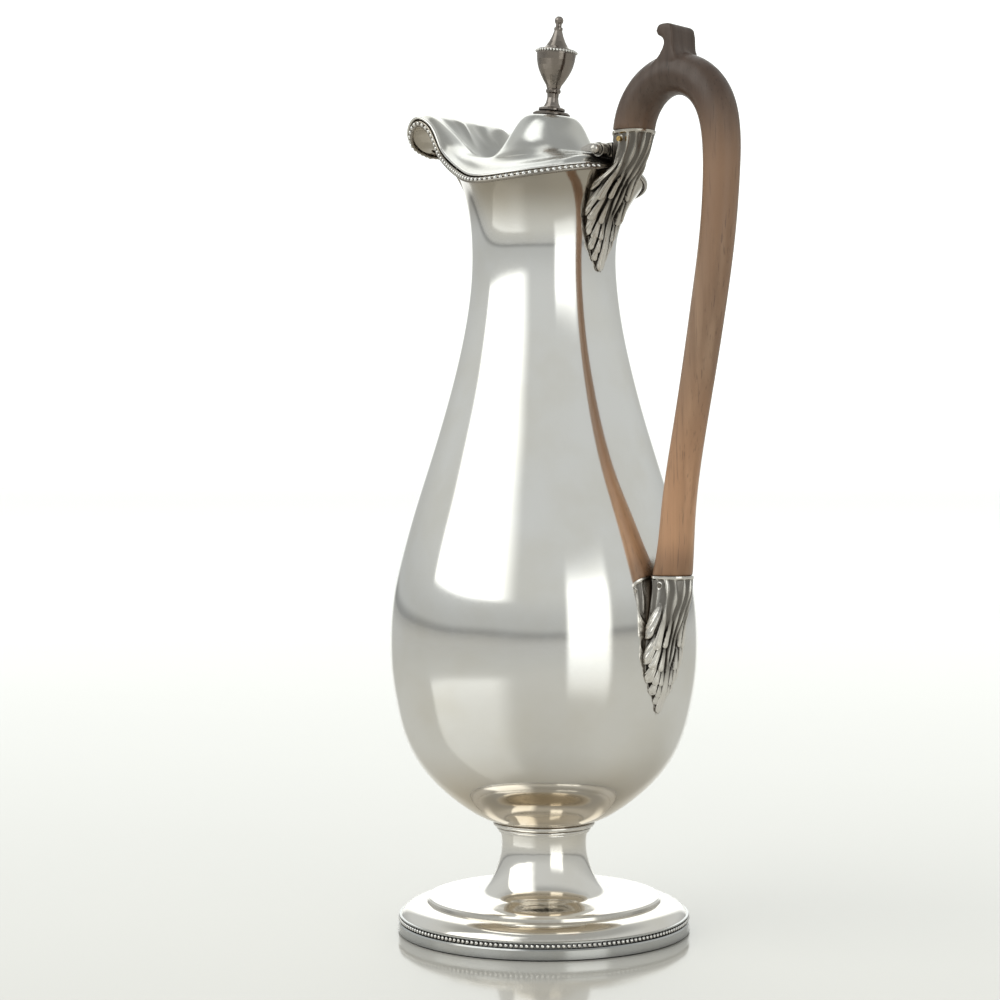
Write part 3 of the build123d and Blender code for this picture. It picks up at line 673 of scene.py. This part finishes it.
# ---- handle: the CAD shape with its corners worn smooth ----
def make_handle():
    piece = bpy.data.objects.new("worn_handle", nodes["handle"].data.copy())
    bpy.context.scene.collection.objects.link(piece)
    skin = piece.modifiers.new("skin", "REMESH")
    skin.mode = "VOXEL"
    skin.voxel_size = 0.6 * MM
    wear = piece.modifiers.new("wear", "SMOOTH")
    wear.factor = 0.5
    wear.iterations = 14
    shape = piece.evaluated_get(bpy.context.evaluated_depsgraph_get())
    worn = bpy.data.meshes.new_from_object(shape)
    piece.modifiers.clear()
    piece.data = worn
    worn.shade_smooth()
    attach(piece, "jug")
    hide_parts("handle")


make_body()
make_cover()
make_handle()
make_socket("upper_leaf", upper_sections, "upper_socket")
make_socket("lower_leaf", lower_sections, "lower_socket")


# ---- surroundings: a glossy pale floor and a softly lit white room ----
floor_look = Shader("floor", Roughness=0.1, IOR=1.9)
floor_tone = floor_look.mix(floor_look.noise(3.0, 2.0), (0.70, 0.675, 0.62), (0.74, 0.715, 0.66))
floor_look.set(floor_look.surface, {"Base Color": floor_tone})
bpy.ops.mesh.primitive_plane_add(size=80)
floor = bpy.context.object
floor.name = "floor"
floor.data.materials.append(floor_look.material)


def room():
    """A world whose light depends on direction.

    A tall soft window stands left of the camera and a low one right of it. Behind the jug it is white,
    and the walls between are grey.
    """
    world = bpy.data.worlds.new("room")
    bpy.context.scene.world = world
    world.use_nodes = True
    tree = world.node_tree
    back = tree.nodes["Background"]

    def node(kind, *inputs, **settings):
        made = tree.nodes.new("ShaderNode" + kind)
        for name, value in settings.items():
            setattr(made, name, value)
        for slot, value in enumerate(inputs):
            if isinstance(value, bpy.types.NodeSocket):
                tree.links.new(value, made.inputs[slot])
            else:
                made.inputs[slot].default_value = value
        return made.outputs[0]

    def maths(operation, *inputs):
        return node("Math", *inputs, operation=operation)

    wall_light, window_light, light_behind = 0.62, 1.15, 0.8
    direction = node("TexCoord")
    turned = node("VectorRotate", direction, (0, 0, 0), (0, 0, 1), -view_azimuth,
                  rotation_type="AXIS_ANGLE")
    parts = tree.nodes.new("ShaderNodeSeparateXYZ")
    tree.links.new(turned, parts.inputs[0])
    side, depth, height = parts.outputs     # right of the camera, away from it, up
    toward = maths("MULTIPLY", depth, -1.0)
    azimuth = maths("ARCTAN2", side, toward)     # 0 at the camera, negative to the left
    flat = maths("SQRT", maths("ADD", maths("MULTIPLY", side, side), maths("MULTIPLY", depth, depth)))
    elevation = maths("ARCTAN2", height, flat)

    def window(value, start, end, soft_start, soft_end):
        """1 between start and end, falling to 0 over the soft widths; angles in degrees."""
        rise = node("MapRange", value, math.radians(start - soft_start), math.radians(start), 0.0, 1.0,
                    interpolation_type="SMOOTHSTEP")
        fall = node("MapRange", value, math.radians(end), math.radians(end + soft_end), 1.0, 0.0,
                    interpolation_type="SMOOTHSTEP")
        return maths("MULTIPLY", rise, fall)

    tall = maths("MULTIPLY", window(azimuth, -92, -42, 4, 24), window(elevation, 14.5, 62, 2.5, 12))
    low = maths("MULTIPLY", window(azimuth, 20, 47, 5, 6), window(elevation, -12, 16, 4, 10))
    behind = maths("SUBTRACT", 1.0, window(azimuth, -154, 154, 10, 10))
    wall = maths("SUBTRACT", wall_light, maths("MULTIPLY", 0.12, window(elevation, -90, 3, 1, 16)))
    wall = maths("SUBTRACT", wall, maths("MULTIPLY", 0.20, window(elevation, -90, 0.5, 1, 2.5)))
    wall = maths("SUBTRACT", wall, maths("MULTIPLY", 0.22, window(elevation, 58, 95, 20, 1)))
    light = maths("ADD", wall, maths("MULTIPLY", tall, window_light))
    light = maths("ADD", light, maths("MULTIPLY", low, window_light))
    light = maths("ADD", light, maths("MULTIPLY", behind, light_behind))
    tree.links.new(light, back.inputs["Strength"])
    back.inputs["Color"].default_value = (0.975, 1.0, 0.975, 1)


room()
